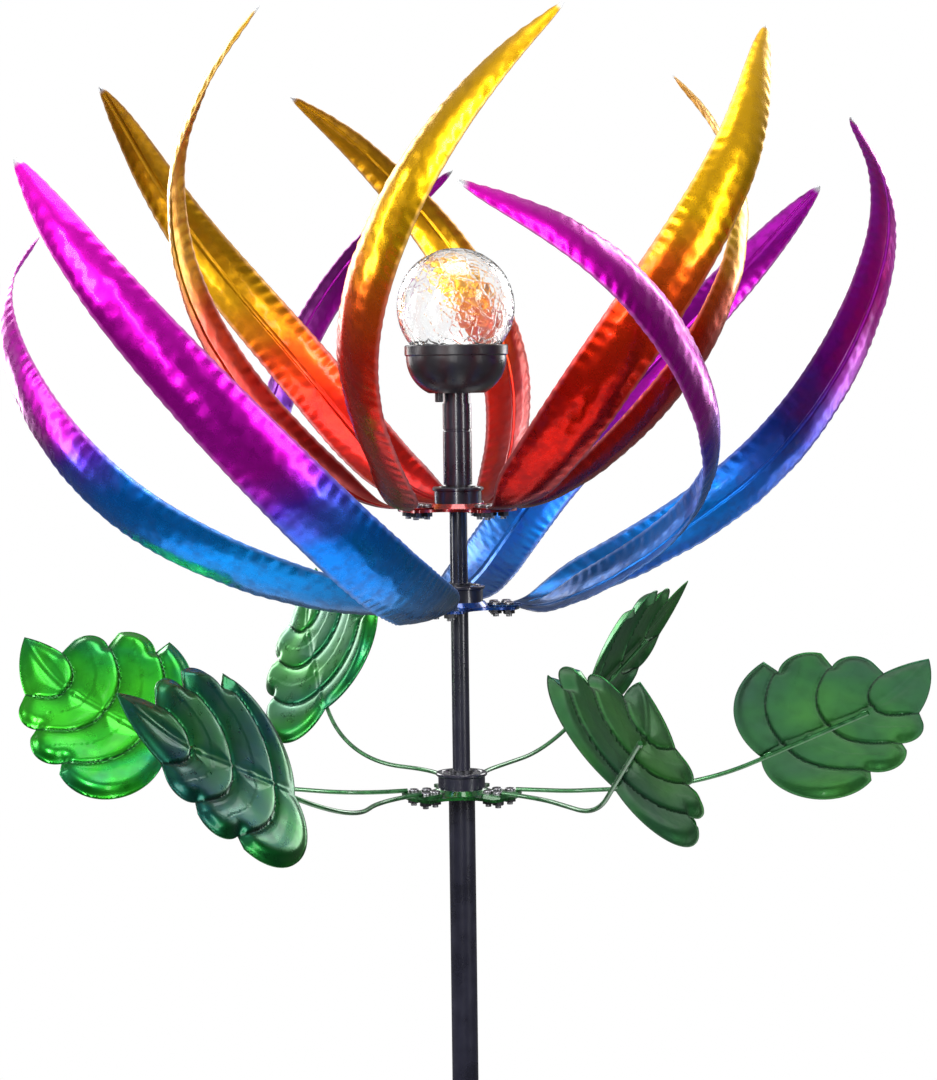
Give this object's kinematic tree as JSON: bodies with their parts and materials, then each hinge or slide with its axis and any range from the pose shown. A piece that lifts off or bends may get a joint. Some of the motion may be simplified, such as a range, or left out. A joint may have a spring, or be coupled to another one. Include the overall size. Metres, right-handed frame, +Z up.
{
  "type": "kinetic wind sculpture",
  "caption": "Garden wind spinner: two counter-bent petal rotors and a leaf rotor on a staked pole, with a solar lamp at the centre.",
  "frame": {"origin": "on the pole's axis at the ground line, where the centre prong leaves the underside of the step bar", "axes": "+Z up along the pole, +X along the step bar, -Y to the front"},
  "size_m": [0.6281, 0.6651, 1.882],
  "materials": {
    "black_metal": "satin black powder coat",
    "black_plastic": "satin black moulded plastic",
    "upper_petal_paint": "candy gloss, gold to red",
    "middle_petal_paint": "candy gloss, magenta to blue",
    "leaf_paint": "candy gloss green",
    "upper_plate_paint": "gloss red",
    "middle_plate_paint": "gloss blue",
    "zinc": "bright zinc plate",
    "black_steel": "black oxide",
    "bearing_steel": "polished",
    "glass": "clear crackle glass",
    "seal_rubber": "matte",
    "solar_cell": "dark cell under clear resin",
    "led_lens": "clear lens",
    "battery_wrap": "printed wrap left plain"
  },
  "bodies": {
    "root": {"stake_prongs": "black_metal", "stake_step_bar": "black_metal", "stake_socket": "black_metal", "pole_lower": "black_metal", "pole_upper": "black_metal", "pole_joint_ferrule": "zinc", "pole_top_bush": "black_plastic", "rotor_shaft": "black_metal", "retaining_rings": "black_steel", "bearing_inner_rings": "bearing_steel", "lamp_sleeve": "black_metal", "lamp_sleeve_bush": "black_plastic"},
    "lamp": {"lamp_stem": "black_metal", "lamp_bowl": "black_plastic", "glass_globe": "glass", "globe_seal": "seal_rubber", "solar_panel": "solar_cell", "led": "led_lens", "battery": "battery_wrap", "switch_body": "black_plastic"},
    "lamp_switch": {"switch_button": "black_plastic"},
    "upper_rotor": {"upper_hub_housing": "black_metal", "upper_bearing": "bearing_steel", "upper_arm_plate": "upper_plate_paint", "upper_screws": "zinc", "upper_nuts": "black_steel", "upper_petal_1": "upper_petal_paint", "upper_petal_2": "upper_petal_paint", "upper_petal_3": "upper_petal_paint", "upper_petal_4": "upper_petal_paint", "upper_petal_5": "upper_petal_paint", "upper_petal_6": "upper_petal_paint"},
    "middle_rotor": {"middle_hub_housing": "black_metal", "middle_bearing": "bearing_steel", "middle_arm_plate": "middle_plate_paint", "middle_screws": "zinc", "middle_nuts": "black_steel", "middle_petal_1": "middle_petal_paint", "middle_petal_2": "middle_petal_paint", "middle_petal_3": "middle_petal_paint", "middle_petal_4": "middle_petal_paint", "middle_petal_5": "middle_petal_paint", "middle_petal_6": "middle_petal_paint"},
    "leaf_rotor": {"leaf_hub_housing": "black_metal", "leaf_bearing": "bearing_steel", "leaf_arm_plate": "leaf_paint", "leaf_screws": "zinc", "leaf_nuts": "black_steel", "leaf_1": "leaf_paint", "leaf_stem_1": "leaf_paint", "leaf_2": "leaf_paint", "leaf_stem_2": "leaf_paint", "leaf_3": "leaf_paint", "leaf_stem_3": "leaf_paint", "leaf_4": "leaf_paint", "leaf_stem_4": "leaf_paint", "leaf_5": "leaf_paint", "leaf_stem_5": "leaf_paint", "leaf_6": "leaf_paint", "leaf_stem_6": "leaf_paint"}
  },
  "joints": [
    {"name": "upper_spin", "type": "hinge", "parent": "root", "child": "upper_rotor", "pos_m": [0, 0, 1.353], "axis": [0, 0, 1], "continuous": true},
    {"name": "middle_spin", "type": "hinge", "parent": "root", "child": "middle_rotor", "pos_m": [0, 0, 1.286], "axis": [0, 0, 1], "continuous": true},
    {"name": "leaf_spin", "type": "hinge", "parent": "root", "child": "leaf_rotor", "pos_m": [0, 0, 1.158], "axis": [0, 0, 1], "continuous": true},
    {"name": "lamp_lift", "type": "slide", "parent": "root", "child": "lamp", "axis": [0, 0, 1], "range_m": [0, 0.06]},
    {"name": "switch_press", "type": "slide", "parent": "lamp", "child": "lamp_switch", "axis": [0, 0, 1], "range_m": [0, 0.0015], "stiffness_N_per_m": 300}
  ]
}
